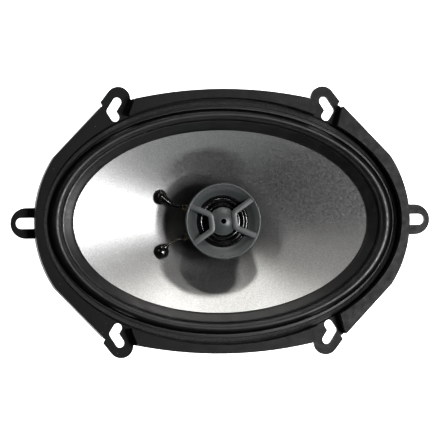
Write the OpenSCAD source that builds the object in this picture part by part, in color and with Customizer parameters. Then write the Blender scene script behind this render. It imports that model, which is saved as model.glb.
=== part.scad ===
// Oval coaxial loudspeaker with slotted mounting ears.
// +Z is the sound axis, out of the front. z = 0 is the back face of the flange.
// Millimetres throughout.

/* [Flange] */
// Half length of the flange body along X
flange_hx = 101.9; // [96:0.1:108]
// Half height of the flange body along Y
flange_hy = 71.4; // [66:0.1:76]
// Radius of the long top and bottom edges
flange_long_r = 225; // [180:5:300]
// Radius of the two short end edges
flange_end_r = 64; // [60:0.5:80]
// Thickness of the flange plate, ears and tabs
flange_t = 3; // [2:0.1:4]
// Height of the raised rim above the back face
rim_top = 11; // [7:0.1:13]
// Half length of the rim's inner edge
rim_in_x = 97.2; // [94:0.1:99]
// Half height of the rim's inner edge
rim_in_y = 66.5; // [63:0.1:68]
// Height of the ledge that the surround is glued to
ledge_z = 1; // [0.5:0.1:2]

/* [Ears and tabs] */
// Distance from the centre to the middle of an ear slot
ear_slot_x = 105.5; // [103:0.1:108]
// Half width of an ear slot
ear_slot_r = 3; // [2:0.1:3.5]
// Full length of an ear slot
ear_slot_len = 12; // [8:0.5:14]
// Distance from the centre to the middle of an ear's round end
ear_end_x = 106; // [103:0.1:109]
// Radius of an ear's round end
ear_end_r = 8.2; // [7:0.1:10]
// X of the middle of a corner tab's round end
tab_end_x = 55.8; // [50:0.1:60]
// Y of the middle of a corner tab's round end
tab_end_y = 66.4; // [62:0.1:70]
// Radius of a corner tab's round end
tab_end_r = 6.5; // [5.5:0.1:8]
// Half width of a corner slot
tab_slot_r = 2.5; // [2:0.1:3]

/* [Basket] */
// Depth of the wall under the flange
skirt_depth = 12; // [8:0.5:16]
// Half length of the wall under the flange
skirt_x = 97.5; // [95:0.1:98.5]
// Half height of the wall under the flange
skirt_y = 65; // [63:0.1:67]
// Radius of the cup that holds the spider
cup_r = 40.4; // [36:0.1:46]
// Width of the two long arms
arm_w_long = 14; // [8:0.5:18]
// Width of the four diagonal arms
arm_w_diag = 12; // [8:0.5:16]

/* [Cone] */
// Half length of the cone's edge
cone_x = 85.5; // [82:0.1:88]
// Half height of the cone's edge
cone_y = 53.9; // [50:0.1:56]
// Radius of the cone's neck
neck_r = 13; // [12:0.05:16]
// Depth from the cone's edge to its neck
cone_depth = 24; // [18:0.5:30]
// How strongly the cone flares, where 1 is a straight cone
cone_flare = 1; // [1:0.05:2.5]
// Thickness of the cone
cone_t = 0.8; // [0.4:0.1:1.5]

/* [Surround] */
// Half length of the outer edge of the roll
roll_out_x = 94; // [90:0.1:95]
// Half height of the outer edge of the roll
roll_out_y = 61.2; // [58:0.1:63]
// Half length of the inner edge of the roll
roll_in_x = 86; // [84:0.1:88]
// Half height of the inner edge of the roll
roll_in_y = 54.3; // [52:0.1:56]
// Height of the roll above the ledge
roll_h = 4.2; // [3:0.1:6]
// Half length of the inner edge of the glued land
land_x = 80.4; // [78:0.1:84]
// Half height of the inner edge of the glued land
land_y = 49.5; // [47:0.1:52]

/* [Motor] */
// Height of the front face of the top plate
plate_z = -38; // [-44:0.5:-34]
// Radius of the top plate
plate_r = 35; // [30:0.5:40]
// Thickness of the top plate
plate_t = 4; // [3:0.5:6]
// Radius of the ring magnet
magnet_r = 40; // [34:0.5:45]
// Thickness of the ring magnet
magnet_t = 14; // [8:0.5:20]
// Radius of the yoke's back plate
yoke_r = 37; // [32:0.5:42]
// Thickness of the yoke's back plate
yoke_t = 5; // [3:0.5:7]
// Radius of the pole piece
pole_r = 12.2; // [11:0.1:14]
// Radius of the hole in the top plate
gap_r = 14.1; // [13.8:0.1:16]
// Inner radius of the voice coil former
coil_in_r = 12.7; // [12.5:0.05:13]
// Number of stake rivets between basket and top plate
rivets = 4; // [3:1:6]

/* [Tweeter] */
// Height of the front lip of the tweeter bezel
bezel_z = 6.5; // [4:0.1:9]
// Radius of the tweeter bezel
bezel_r = 20.5; // [18:0.1:23]
// Radius of the opening in front of the diaphragm
bezel_open_r = 14; // [12:0.1:16]
// Radius of the centre plug
plug_r = 7.6; // [6:0.1:9]
// Radius of the hole in the centre plug
plug_hole_r = 1.3; // [0.8:0.1:2]
// Width of the bars that hold the plug
bar_w = 3.2; // [2:0.1:4]
// Turn of the bars about the axis, in degrees
bar_turn = 5.7; // [-15:0.1:15]
// Radius of the tweeter housing at its front
housing_r = 19.6; // [18:0.1:22]
// Height of the underside of the tweeter housing
housing_z = -9; // [-12:0.5:-6]

/* [Output] */
// Which sub-part is drawn

/* [Hidden] */

fine = 160;
eps = 0.01;

plate_back = plate_z - plate_t;
magnet_back = plate_back - magnet_t;
yoke_back = magnet_back - yoke_t;
cup_floor_t = 2.4;
spider_z = -28;
spider_out_r = 43;
spider_in_r = 13.35;
coil_out_r = 13.0;
former_top = -22.6;
former_bottom = -46;
board_z = -22.95;
board_t = 1.55;
tab_t = 0.8;
seg = 96;

black = [0.09, 0.09, 0.095];
rubber = [0.05, 0.05, 0.055];
silver = [0.72, 0.72, 0.72];
steel = [0.62, 0.63, 0.65];
ferrite = [0.16, 0.16, 0.17];
copper = [0.72, 0.42, 0.22];
grey = [0.30, 0.31, 0.31];
brass = [0.80, 0.66, 0.36];

// Corner points of the cut diagonal edges of the flange
diag_a = [65.4, 62.3];
diag_b = [90.7, 35.8];
diag_slope = (diag_a[1] - diag_b[1]) / (diag_b[0] - diag_a[0]);
far_a = [diag_a[0] - 18, diag_a[1] + 18 * diag_slope];
far_b = [diag_b[0] + 22, diag_b[1] - 22 * diag_slope];

module oval_2d(x, y, n = 144) {
  polygon([for (i = [0 : n - 1]) [x * cos(360 * i / n), y * sin(360 * i / n)]]);
}

module slab(z0, z1) {
  translate([0, 0, z0]) linear_extrude(height = z1 - z0) children();
}

module ring(ro, ri, z0, z1) {
  difference() {
    translate([0, 0, z0]) cylinder(r = ro, h = z1 - z0, $fn = fine);
    translate([0, 0, z0 - 1]) cylinder(r = ri, h = z1 - z0 + 2, $fn = fine);
  }
}

// Closed shell through a loop of [half length, half height, z] sections
module oval_shell(loop, n) {
  m = len(loop);
  pts = [for (i = [0 : n - 1]) for (j = [0 : m - 1])
    [loop[j][0] * cos(360 * i / n), loop[j][1] * sin(360 * i / n), loop[j][2]]];
  faces = [for (i = [0 : n - 1]) for (j = [0 : m - 1])
    let (a = i * m + j, b = i * m + (j + 1) % m,
      c = ((i + 1) % n) * m + (j + 1) % m, d = ((i + 1) % n) * m + j)
    each [[a, b, c], [a, c, d]]];
  polyhedron(pts, faces, convexity = 10);
}

// Round wire along a smooth curve through four control points
function bez(p, t) = pow(1 - t, 3) * p[0] + 3 * t * pow(1 - t, 2) * p[1]
  + 3 * t * t * (1 - t) * p[2] + pow(t, 3) * p[3];
function bez_dir(p, t) = let (d = 3 * pow(1 - t, 2) * (p[1] - p[0])
  + 6 * t * (1 - t) * (p[2] - p[1]) + 3 * t * t * (p[3] - p[2])) d / norm(d);

module wire(p, r0, r1, n, k) {
  pts = [for (i = [0 : n]) let (t = i / n, c = bez(p, t), d = bez_dir(p, t),
      u0 = cross(d, [0.3, 0.9, 0.31]), u = u0 / norm(u0), v = cross(d, u),
      r = r0 + (r1 - r0) * t)
    for (j = [0 : k - 1]) c + r * cos(360 * j / k) * u + r * sin(360 * j / k) * v];
  faces = concat(
    [for (i = [0 : n - 1]) for (j = [0 : k - 1])
      let (a = i * k + j, b = i * k + (j + 1) % k)
      each [[a, b, b + k], [a, b + k, a + k]]],
    [for (j = [1 : k - 2]) [0, j + 1, j]],
    [for (j = [1 : k - 2]) [n * k, n * k + j, n * k + j + 1]]);
  polyhedron(pts, [for (f = faces) [f[0], f[2], f[1]]], convexity = 6);
}

// Flange outline without ears and tabs
module flange_body_2d() {
  intersection() {
    translate([0, flange_hy - flange_long_r]) circle(r = flange_long_r, $fn = fine * 2);
    translate([0, flange_long_r - flange_hy]) circle(r = flange_long_r, $fn = fine * 2);
    polygon([far_a, far_b, [far_b[0], -far_b[1]], [far_a[0], -far_a[1]],
      [-far_a[0], -far_a[1]], [-far_b[0], -far_b[1]], [-far_b[0], far_b[1]],
      [-far_a[0], far_a[1]]]);
    union() {
      square([2 * 88, 160], center = true);
      for (s = [-1, 1]) translate([s * (flange_hx - flange_end_r), 0])
        circle(r = flange_end_r, $fn = fine);
    }
  }
}

module tab_2d() {
  translate([tab_end_x, tab_end_y]) circle(r = tab_end_r, $fn = 96);
  polygon([[tab_end_x + 0.795 * tab_end_r, tab_end_y + 0.606 * tab_end_r],
    [65.9, 63.9], [64, 54], [52, 54], [47.6, 62],
    [tab_end_x - tab_end_r, tab_end_y]]);
}

module ear_2d() {
  translate([(ear_end_x + 90) / 2, 0])
    square([ear_end_x - 90, 2 * ear_end_r], center = true);
  translate([ear_end_x, 0]) circle(r = ear_end_r, $fn = 96);
}

module ear_slot_2d() {
  half = ear_slot_len / 2 - ear_slot_r;
  translate([ear_slot_x, 0]) square([2 * half, 2 * ear_slot_r], center = true);
  for (s = [-1, 1]) translate([ear_slot_x + s * half, 0]) circle(r = ear_slot_r, $fn = 96);
}

module leg_2d(p, q, r) {
  d = q - p;
  translate(p) rotate(atan2(d[1], d[0])) translate([0, -r]) square([norm(d), 2 * r]);
}

// Bent slot: one leg points at the speaker's axis, the other along the cut edge
module tab_slot_2d() {
  p1 = [56.4, 64.8];
  p2 = [59.6, 59.8];
  p3 = [57.6, 56.6];
  leg_2d(p1, p2, tab_slot_r - 0.01);
  leg_2d(p2, p3, tab_slot_r - 0.01);
  for (p = [p1, p2, p3]) translate(p) circle(r = tab_slot_r, $fn = 96);
}

// Part of the raised rim that is left out around a corner tab
module tab_recess_2d() {
  polygon([[47.4, 76], [47.4, 66.1], [50.5, 58], [49.5, 52], [60, 44], [62.8, 51.5],
    [66.1, 62.3], [66.1, 76]]);
}

// A side arm of the basket, running out along +X
module arm(reach, wall, w) {
  rotate([90, 0, 0]) translate([0, 0, -w / 2]) linear_extrude(height = w)
    polygon([[39.2, -31.5], [wall - 3, -8.6], [reach, -8.6], [reach, -11.8],
      [wall, -11.8], [39.2, -35.8]]);
  rotate([90, 0, 0]) translate([0, 0, -1.3]) linear_extrude(height = 2.6)
    polygon([[39.2, -33], [wall - 2, -10], [reach, -10], [reach, -12], [wall + 1, -16],
      [46, -37.9], [39.2, -37.9]]);
}

// Plate outline with ears and tabs, and every slot through it
module plate_2d() {
  difference() {
    union() {
      flange_body_2d();
      for (s = [0, 1]) mirror([s, 0]) ear_2d();
      for (sx = [0, 1]) for (sy = [0, 1]) mirror([sx, 0]) mirror([0, sy]) tab_2d();
    }
    for (s = [0, 1]) mirror([s, 0]) ear_slot_2d();
    for (sx = [0, 1]) for (sy = [0, 1]) mirror([sx, 0]) mirror([0, sy]) {
      tab_slot_2d();
      notch_2d();
    }
  }
}

// Notch between a tab and the cut edge
module notch_2d() {
  leg_2d([66.4, 65.2], [64.9, 62.3], 0.8);
}

module basket() {
  color(black) {
    // ledge under the surround
    slab(0, ledge_z) difference() {
      plate_2d();
      oval_2d(roll_out_x + 0.4, roll_out_y + 0.4);
    }
    slab(ledge_z, flange_t) difference() {
      plate_2d();
      oval_2d(rim_in_x, rim_in_y);
    }
    slab(flange_t, rim_top) difference() {
      flange_body_2d();
      oval_2d(rim_in_x, rim_in_y);
      for (sx = [0, 1]) for (sy = [0, 1]) mirror([sx, 0]) mirror([0, sy]) {
        tab_recess_2d();
        notch_2d();
      }
    }
    // wall under the flange
    slab(-2, 0) difference() {
      oval_2d(skirt_x, skirt_y);
      oval_2d(roll_out_x + 0.4, roll_out_y + 0.4);
    }
    slab(-skirt_depth, -2) difference() {
      oval_2d(skirt_x, skirt_y);
      oval_2d(skirt_x - 2.4, skirt_y - 2.4);
    }
    // side arms
    intersection() {
      union() {
        for (a = [0, 180]) rotate([0, 0, a]) arm(100, 95, arm_w_long);
        for (a = [45, 135, 225, 315]) rotate([0, 0, a]) arm(84, 72, arm_w_diag);
      }
      slab(-60, -1) oval_2d(skirt_x - 0.3, skirt_y - 0.3);
    }
    // cup that holds the spider, with its floor on the top plate
    difference() {
      rotate_extrude($fn = fine) polygon([[22, plate_z], [cup_r, plate_z],
        [cup_r, spider_z - 2.4], [spider_out_r + 0.5, spider_z - 2.4],
        [spider_out_r + 0.5, spider_z - 0.1], [38, spider_z - 0.1],
        [38, plate_z + cup_floor_t], [22, plate_z + cup_floor_t]]);
      for (i = [0 : rivets - 1]) rotate([0, 0, 45 + i * 360 / rivets])
        translate([30, 0, plate_z - 1]) cylinder(r = 1.65, h = 6, $fn = 48);
    }
    // shelf for the terminal board
    difference() {
      translate([-60.5, -14.5, -26]) cube([16.5, 29, 3]);
      for (y = [-10.6, 10.6]) translate([-51, y, -27]) cylinder(r = 1.45, h = 5, $fn = 48);
    }
  }
}

// Rubber half-roll edge, with a glued flange outside and a glued land inside
function roll_mix(t, o, i) = o + (i - o) * t;
module surround() {
  t = 0.7;
  z0 = ledge_z + 0.05;
  n = 8;
  top = concat([[96.9, 66.2, z0 + 0.8], [roll_out_x + 0.5, roll_out_y + 0.6, z0 + 0.8]],
    [for (i = [0 : n]) let (u = i / n, a = 180 * u)
      [roll_mix(0.5 - 0.5 * cos(a), roll_out_x, roll_in_x),
       roll_mix(0.5 - 0.5 * cos(a), roll_out_y, roll_in_y),
       z0 + 0.75 + roll_mix(u, 0, -0.6) + roll_h * sin(a)]],
    [[roll_in_x - 0.6, roll_in_y - 0.6, z0 + 0.05], [land_x, land_y, z0 - 1.75]]);
  low = concat([[land_x, land_y, z0 - 2.35], [roll_in_x - 0.5, roll_in_y - 0.5, z0 - 0.65]],
    [for (i = [0 : n]) let (u = i / n, a = 180 * u)
      [roll_mix(0.5 + 0.5 * cos(a), roll_out_x - t, roll_in_x + t),
       roll_mix(0.5 + 0.5 * cos(a), roll_out_y - t, roll_in_y + t),
       z0 + 0.02 + roll_mix(u, -0.6, 0) + (roll_h) * sin(a)]],
    [[roll_out_x + 0.5, roll_out_y + 0.6, z0], [96.9, 66.2, z0]]);
  color(rubber) oval_shell(concat(top, low), seg);
}

module edge_gasket() {
  z0 = ledge_z + 0.9;
  color(grey) slab(z0, z0 + 0.9) difference() {
    oval_2d(96.7, 65.3);
    oval_2d(94.9, 62.8);
  }
}

// Oval cone with straight sides and a round neck
function cone_at(s) = [cone_x + (neck_r - cone_x) * s, cone_y + (neck_r - cone_y) * s,
  -cone_depth * pow(s, cone_flare)];
module cone() {
  n = 10;
  up = [for (i = [0 : n]) cone_at(i / n)];
  down = [for (i = [n : -1 : 0]) let (p = cone_at(i / n), k = i == n ? 0.05 : 0)
    [p[0] + k, p[1] + k, p[2] - cone_t - 0.35 * i / n]];
  color(silver) oval_shell([for (p = concat(up, down)) [p[0] + 0.06, p[1] + 0.06, p[2]]],
    seg);
}

module coil_former() {
  color(brass) ring(coil_out_r, coil_in_r, former_bottom, former_top);
}

module coil_winding() {
  color(copper) ring(13.5, coil_out_r + 0.01, -45, -35);
}

// Corrugated cloth disc with a collar at the former and a glued rim on the cup
module spider() {
  n = 56;
  t = 0.45;
  r0 = 15;
  r1 = 37.4;
  wave = [for (i = [0 : n]) let (r = r0 + (r1 - r0) * i / n)
    [r, spider_z + 0.6 + 1.1 * sin(360 * 4 * i / n)]];
  upper = concat([[spider_in_r, spider_z + 2.2], [spider_in_r + 0.5, spider_z + 2.2],
    [spider_in_r + 0.6, spider_z + 0.75]], wave,
    [[38.2, spider_z + 0.5], [spider_out_r, spider_z + 0.5]]);
  lower = concat([[spider_out_r, spider_z], [38.3, spider_z]],
    [for (i = [n : -1 : 0]) [wave[i][0], wave[i][1] - t]], [[spider_in_r, spider_z + 0.2]]);
  color([0.78, 0.66, 0.30]) rotate_extrude($fn = fine) polygon(concat(upper, lower));
}

// Blob of black cement where a lead passes through the cone, with its tail
module lead_bead_upper() {
  color(rubber) difference() {
    union() {
      translate([-31.6, 13.9, -15.1]) scale([3.3, 4, 2.9]) sphere(r = 1, $fn = 64);
      translate([-29, 12.2, -14.2]) rotate([0, 0, -33]) rotate([0, 84, 0])
        cylinder(r1 = 2.5, r2 = 1.1, h = 4.6, $fn = 48);
    }
    bead_seat();
  }
}

module lead_bead_lower() {
  color(rubber) difference() {
    union() {
      translate([-31.4, -15.8, -15.2]) scale([4, 4, 3.1]) sphere(r = 1, $fn = 64);
      translate([-29.8, -13.6, -13.9]) scale([2.5, 2.1, 1.8]) sphere(r = 1, $fn = 64);
    }
    bead_seat();
  }
}

// Space under the beads that belongs to the cone
module bead_seat() {
  n = 10;
  rows = [for (i = [5 : 9]) cone_at(i / n)];
  m = len(rows);
  ang = [for (a = [120 : 6 : 240]) a];
  k = len(ang);
  pts = concat(
    [for (a = ang) for (p = rows) [(p[0] + 0.06) * cos(a), (p[1] + 0.06) * sin(a), p[2] + 0.04]],
    [for (a = ang) for (p = rows) [(p[0] + 0.06) * cos(a), (p[1] + 0.06) * sin(a), -30]]);
  o = k * m;
  faces = concat(
    [for (i = [0 : k - 2]) for (j = [0 : m - 2]) let (q = i * m + j)
      each [[q, q + 1, q + m + 1], [q, q + m + 1, q + m],
            [o + q, o + q + m + 1, o + q + 1], [o + q, o + q + m, o + q + m + 1]]],
    [for (i = [0 : k - 2]) for (j = [0, m - 1]) let (q = i * m + j)
      each j == 0 ? [[q, q + m, o + q + m], [q, o + q + m, o + q]]
                  : [[q, o + q + m, q + m], [q, o + q, o + q + m]]],
    [for (i = [0, k - 1]) for (j = [0 : m - 2]) let (q = i * m + j)
      each i == 0 ? [[q, o + q + 1, q + 1], [q, o + q, o + q + 1]]
                  : [[q, q + 1, o + q + 1], [q, o + q + 1, o + q]]]);
  polyhedron(pts, faces, convexity = 6);
}

module top_plate() {
  color(steel) difference() {
    rotate_extrude($fn = fine) polygon([[gap_r, plate_back], [plate_r, plate_back],
      [plate_r, plate_z - 0.5], [plate_r - 0.5, plate_z], [gap_r, plate_z]]);
    for (i = [0 : rivets - 1]) rotate([0, 0, 45 + i * 360 / rivets])
      translate([30, 0, plate_back - 1]) cylinder(r = 1.65, h = plate_t + 2, $fn = 48);
  }
}

module magnet() {
  c = 1;
  color(ferrite) rotate_extrude($fn = fine) polygon([[17, magnet_back],
    [magnet_r - c, magnet_back], [magnet_r, magnet_back + c], [magnet_r, plate_back - c],
    [magnet_r - c, plate_back], [17, plate_back]]);
}

module yoke() {
  color(steel) rotate_extrude($fn = fine) polygon([[5.4, yoke_back],
    [yoke_r - 1.2, yoke_back], [yoke_r, yoke_back + 1.2], [yoke_r, magnet_back],
    [16.6, magnet_back], [pole_r + 0.8, magnet_back - 0.6], [pole_r, magnet_back + 0.4],
    [pole_r, plate_z - 0.4], [pole_r - 0.4, plate_z], [2.6, plate_z],
    [2.6, yoke_back + 4.4], [5.4, yoke_back + 4.4]]);
}

module stake_rivets() {
  z = plate_z + cup_floor_t;
  color(steel) for (i = [0 : rivets - 1]) rotate([0, 0, 45 + i * 360 / rivets])
    translate([30, 0, 0]) rotate_extrude($fn = 48) polygon([[0, plate_back + 0.3],
      [1.6, plate_back + 0.3], [1.6, z + 0.02], [2.9, z + 0.02], [2.9, z + 0.6],
      [2, z + 1.3], [0, z + 1.5]]);
}

module tweeter_post() {
  color(black) rotate_extrude($fn = fine) polygon([[2.6, plate_z], [9, plate_z],
    [9, plate_z + 3], [7, plate_z + 6], [7, housing_z - 6], [10, housing_z - 1],
    [10, housing_z], [2.6, housing_z]]);
}

module tweeter_housing() {
  z = housing_z;
  color(black) rotate_extrude($fn = fine) polygon([[2.6, z], [housing_r - 2.6, z],
    [housing_r - 1, z + 1.6], [housing_r, 4.2], [17.9, 4.2], [17.9, -0.5],
    [17.2, -0.5], [17.2, z + 1.6], [2.6, z + 1.6]]);
}

module bar(s) {
  // corners of one bent bar before it is turned
  c1 = [s * 6.3, 4.1];
  c2 = [s * 6.3, -4.1];
  e1 = [s * 19.6 * cos(30.5), 19.6 * sin(30.5)];
  e2 = [s * 19.6 * cos(30.5), -19.6 * sin(30.5)];
  leg_2d(c1, e1, bar_w / 2);
  leg_2d(c1, c2, bar_w / 2);
  leg_2d(c2, e2, bar_w / 2);
  for (p = [c1, c2]) translate(p) circle(r = bar_w / 2, $fn = 48);
}

// Front ring, the two bent bars and the centre plug are one moulding
module tweeter_bezel() {
  z = bezel_z;
  dome = 13;
  color(grey) {
    rotate_extrude($fn = fine) polygon([[bezel_open_r, 1.1], [15.4, 1.1], [15.6, 1.9],
      [16.6, 2.3], [17.8, 2.6], [17.8, 4.25], [bezel_r, 4.25], [bezel_r, z - 0.5],
      [bezel_r - 0.5, z], [bezel_r - 1.1, z], [bezel_r - 1.9, z - 0.9],
      [bezel_r - 3.5, z - 2.4], [bezel_open_r + 0.9, 2.75], [bezel_open_r, 2.3]]);
    slab(z - 2.1, z - 0.2) difference() {
      intersection() {
        rotate(bar_turn) for (s = [-1, 1]) bar(s);
        circle(r = bezel_r - 0.8, $fn = fine);
      }
      circle(r = 4, $fn = 64);
    }
    // plug with a domed front
    rotate_extrude($fn = fine) polygon(concat([[plug_hole_r, 3.9], [plug_r, 3.9]],
      [for (i = [0 : 10]) let (r = plug_r + (plug_hole_r - plug_r) * i / 10)
        [r, z + 0.25 - dome + sqrt(dome * dome - r * r)]]));
  }
}

module tweeter_cup() {
  color(steel) rotate_extrude($fn = fine) polygon([[2.6, -7.35], [9.6, -7.35],
    [10.2, -6.75], [10.2, -0.55], [7.9, -0.55], [7.9, -4.6], [2.6, -4.6]]);
}

module tweeter_magnet() {
  color(steel) translate([0, 0, -4.58]) cylinder(r = 5.8, h = 2.56, $fn = fine);
}

module tweeter_pole_plate() {
  color(steel) rotate_extrude($fn = fine) polygon([[0, -2.01], [6.4, -2.01],
    [6.4, -0.8], [6.15, -0.55], [0, -0.55]]);
}

module tweeter_mount_ring() {
  color(black) rotate_extrude($fn = fine) polygon([[9.2, -0.5], [17.8, -0.5],
    [17.8, 0.9], [15.2, 0.9], [15.2, 0.6], [13.4, 0.6], [13.2, 0.1], [9.2, 0.1]]);
}

// Balanced dome: a centre cap and a raised outer band
function dome_z(r) = r < 6.9 ? 0.55 + 2.45 * (1 - pow(r / 6.9, 2))
  : 0.55 + 1.1 * sin(180 * (r - 6.9) / 4.4);
module tweeter_dome() {
  t = 0.28;
  rs = [0, 1.2, 2.4, 3.6, 4.7, 5.7, 6.4, 6.9, 7.4, 7.9, 8.5, 9.1, 9.7];
  up = [for (r = rs) [r, dome_z(r) + t]];
  down = [for (i = [len(rs) - 1 : -1 : 0]) [rs[i], dome_z(rs[i])]];
  color([0.12, 0.12, 0.13]) rotate_extrude($fn = fine) polygon(concat(up, down));
}

module tweeter_surround() {
  t = 0.25;
  rs = [for (i = [0 : 8]) 10.05 + 3.15 * i / 8];
  up = [for (r = rs) [r, 0.85 + t + 0.75 * sin(180 * (r - 10.05) / 3.15)]];
  down = [for (i = [8 : -1 : 0]) [rs[i], 0.85 + 0.75 * sin(180 * (rs[i] - 10.05) / 3.15)]];
  color([0.10, 0.10, 0.11]) rotate_extrude($fn = fine)
    polygon(concat(up, [[15, 0.85 + t * 0.8], [15, 0.65], [13.5, 0.65]], down));
}

module tweeter_coil() {
  color(copper) rotate_extrude($fn = fine) polygon([[6.75, -3.3], [7.25, -3.3],
    [7.25, -1], [6.95, -1], [6.95, 0.5], [6.75, 0.5]]);
}

module tweeter_lugs() {
  color(brass) for (a = [158, 203]) rotate([0, 0, a]) difference() {
    translate([housing_r - 0.72, -1.6, -6.4]) cube([3.4, 3.2, 0.6]);
    translate([housing_r + 1.6, 0, -8]) cylinder(r = 0.7, h = 4, $fn = 32);
  }
}

module tweeter_capacitor() {
  color([0.13, 0.2, 0.36]) translate([-4.4, 14.05, -4]) rotate([0, 90, 0])
    rotate_extrude($fn = 64) polygon([[0, 0], [2.2, 0], [2.45, 0.3], [2.45, 1.5],
      [2.25, 1.75], [2.45, 2], [2.45, 8.2], [2.2, 8.5], [0, 8.5]]);
}

module capacitor_wires() {
  color(steel) {
    wire([[-4.42, 14.05, -4], [-7, 14.05, -4], [-10.5, 12.2, -4], [-13.2, 9.2, -4]],
      0.3, 0.3, 10, 10);
    wire([[4.12, 14.05, -4], [7, 14, -4], [9.6, 12, -4], [11.6, 8.6, -4]], 0.3, 0.3, 10, 10);
  }
}

module centre_bolt() {
  z = yoke_back;
  color(steel) difference() {
    rotate_extrude($fn = 96) polygon([[0, z + 0.6], [3.6, z + 0.6], [4.4, z + 1.2],
      [4.4, z + 3.4], [2.5, z + 3.4], [2.5, -5.3], [2.1, -4.7], [0, -4.7]]);
    for (a = [0, 90]) rotate([0, 0, a]) translate([-2.2, -0.4, z])
      cube([4.4, 0.8, 2.2]);
  }
}

module bolt_washer() {
  color(steel) ring(5.0, 2.6, yoke_back + 3.45, yoke_back + 4.35);
}

module terminal_board() {
  color([0.45, 0.30, 0.16]) difference() {
    translate([-58.4, -14.3, board_z]) cube([14.4, 28.6, board_t]);
    for (y = [-10.6, 10.6]) translate([-51, y, board_z - 1])
      cylinder(r = 1.45, h = 4, $fn = 48);
  }
}

// Flat push-on tab with a solder eye at the inner end
module blade(w) {
  z = board_z + board_t + 0.03;
  difference() {
    union() {
      translate([-75, -w / 2, z]) cube([27, w, tab_t]);
      translate([-48, 0, z]) cylinder(r = 2.4, h = tab_t, $fn = 48);
    }
    translate([-51, 0, z - 1]) cylinder(r = 1.45, h = 3, $fn = 48);
    translate([-47.2, 0, z - 1]) cylinder(r = 0.8, h = 3, $fn = 48);
    translate([-70.5, 0, z - 1]) cylinder(r = 0.9, h = 3, $fn = 48);
    for (s = [0, 1]) mirror([0, s, 0]) translate([-75.5, w / 2 - 1, z - 1])
      rotate([0, 0, 45]) cube([2, 2, 3]);
  }
}

module terminal_positive() {
  color(brass) translate([0, 10.6, 0]) blade(6.3);
}

module terminal_negative() {
  color(brass) translate([0, -10.6, 0]) blade(4.8);
}

module terminal_rivets() {
  top = board_z + board_t + 0.03 + tab_t + 0.02;
  color(brass) for (y = [-10.6, 10.6]) translate([-51, y, 0])
    rotate_extrude($fn = 48) polygon([[0.8, -27], [2.1, -27], [2.3, -26.4],
      [2.3, -26.03], [1.4, -26.03], [1.4, top], [2.2, top], [2, top + 0.5],
      [0.8, top + 0.6]]);
}

module tinsel_lead_positive() {
  color(copper) wire([[-47.2, 10.6, -20.1], [-44.5, 11, -17.2], [-39, 13, -25],
    [-33, 14.4, -18.4]], 0.75, 0.75, 20, 12);
}

module tinsel_lead_negative() {
  color(copper) wire([[-47.2, -10.6, -20.1], [-44.5, -11.2, -17.2], [-39, -14, -25],
    [-32.8, -15.6, -18.4]], 0.75, 0.75, 20, 12);
}

module tweeter_lead_upper() {
  color(rubber) wire([[-24.4, 9.3, -13.5], [-23.2, 8.6, -13.3], [-22.2, 8.4, -10.4],
    [-21, 8.5, -7.35]], 0.8, 0.7, 14, 12);
}

module tweeter_lead_lower() {
  color(copper) wire([[-27.1, -11.7, -13.8], [-24.8, -9.9, -13.8], [-22.6, -8.6, -10.8],
    [-21.4, -8.9, -7.35]], 0.6, 0.55, 14, 12);
}

basket();
surround();
edge_gasket();
cone();
coil_former();
coil_winding();
spider();
lead_bead_upper();
lead_bead_lower();
top_plate();
magnet();
yoke();
stake_rivets();
tweeter_post();
tweeter_housing();
tweeter_bezel();
tweeter_cup();
tweeter_magnet();
tweeter_pole_plate();
tweeter_mount_ring();
tweeter_dome();
tweeter_surround();
tweeter_coil();
tweeter_lugs();
tweeter_capacitor();
capacitor_wires();
centre_bolt();
bolt_washer();
terminal_board();
terminal_positive();
terminal_negative();
terminal_rivets();
tinsel_lead_positive();
tinsel_lead_negative();
tweeter_lead_upper();
tweeter_lead_lower();
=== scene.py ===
import math
import random

import bmesh
import bpy
import numpy as np
from mathutils import Matrix, Vector


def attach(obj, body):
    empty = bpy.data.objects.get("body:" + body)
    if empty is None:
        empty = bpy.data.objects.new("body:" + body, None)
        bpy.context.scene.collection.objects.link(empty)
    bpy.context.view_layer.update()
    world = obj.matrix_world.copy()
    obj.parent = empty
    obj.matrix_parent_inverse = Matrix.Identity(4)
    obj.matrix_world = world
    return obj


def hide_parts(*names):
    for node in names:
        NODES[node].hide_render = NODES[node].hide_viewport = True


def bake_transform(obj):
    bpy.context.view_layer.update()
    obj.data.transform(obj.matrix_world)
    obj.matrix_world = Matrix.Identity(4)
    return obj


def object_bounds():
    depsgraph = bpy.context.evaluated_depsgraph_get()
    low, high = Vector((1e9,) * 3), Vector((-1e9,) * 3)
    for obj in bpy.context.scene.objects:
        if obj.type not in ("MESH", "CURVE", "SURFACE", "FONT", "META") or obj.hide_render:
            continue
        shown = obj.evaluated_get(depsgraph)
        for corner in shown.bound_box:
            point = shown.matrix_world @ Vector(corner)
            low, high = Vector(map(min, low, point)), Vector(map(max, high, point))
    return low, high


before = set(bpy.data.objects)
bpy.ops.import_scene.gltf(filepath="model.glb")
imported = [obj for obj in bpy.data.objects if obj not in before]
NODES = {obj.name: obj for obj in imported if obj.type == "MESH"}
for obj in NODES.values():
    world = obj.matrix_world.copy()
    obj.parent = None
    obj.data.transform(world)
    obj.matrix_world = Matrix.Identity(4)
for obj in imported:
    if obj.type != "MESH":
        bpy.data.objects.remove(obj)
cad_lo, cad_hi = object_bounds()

MM = 0.001
scene = bpy.context.scene


# ---------------------------------------------------------------- mesh helpers
def make_object(name, verts_mm, faces, mat=None, sharp=38.0):
    me = bpy.data.meshes.new(name)
    me.from_pydata([tuple(c * MM for c in v) for v in verts_mm], [], faces)
    me.validate()
    return finish_mesh(name, me, mat, sharp)


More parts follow.
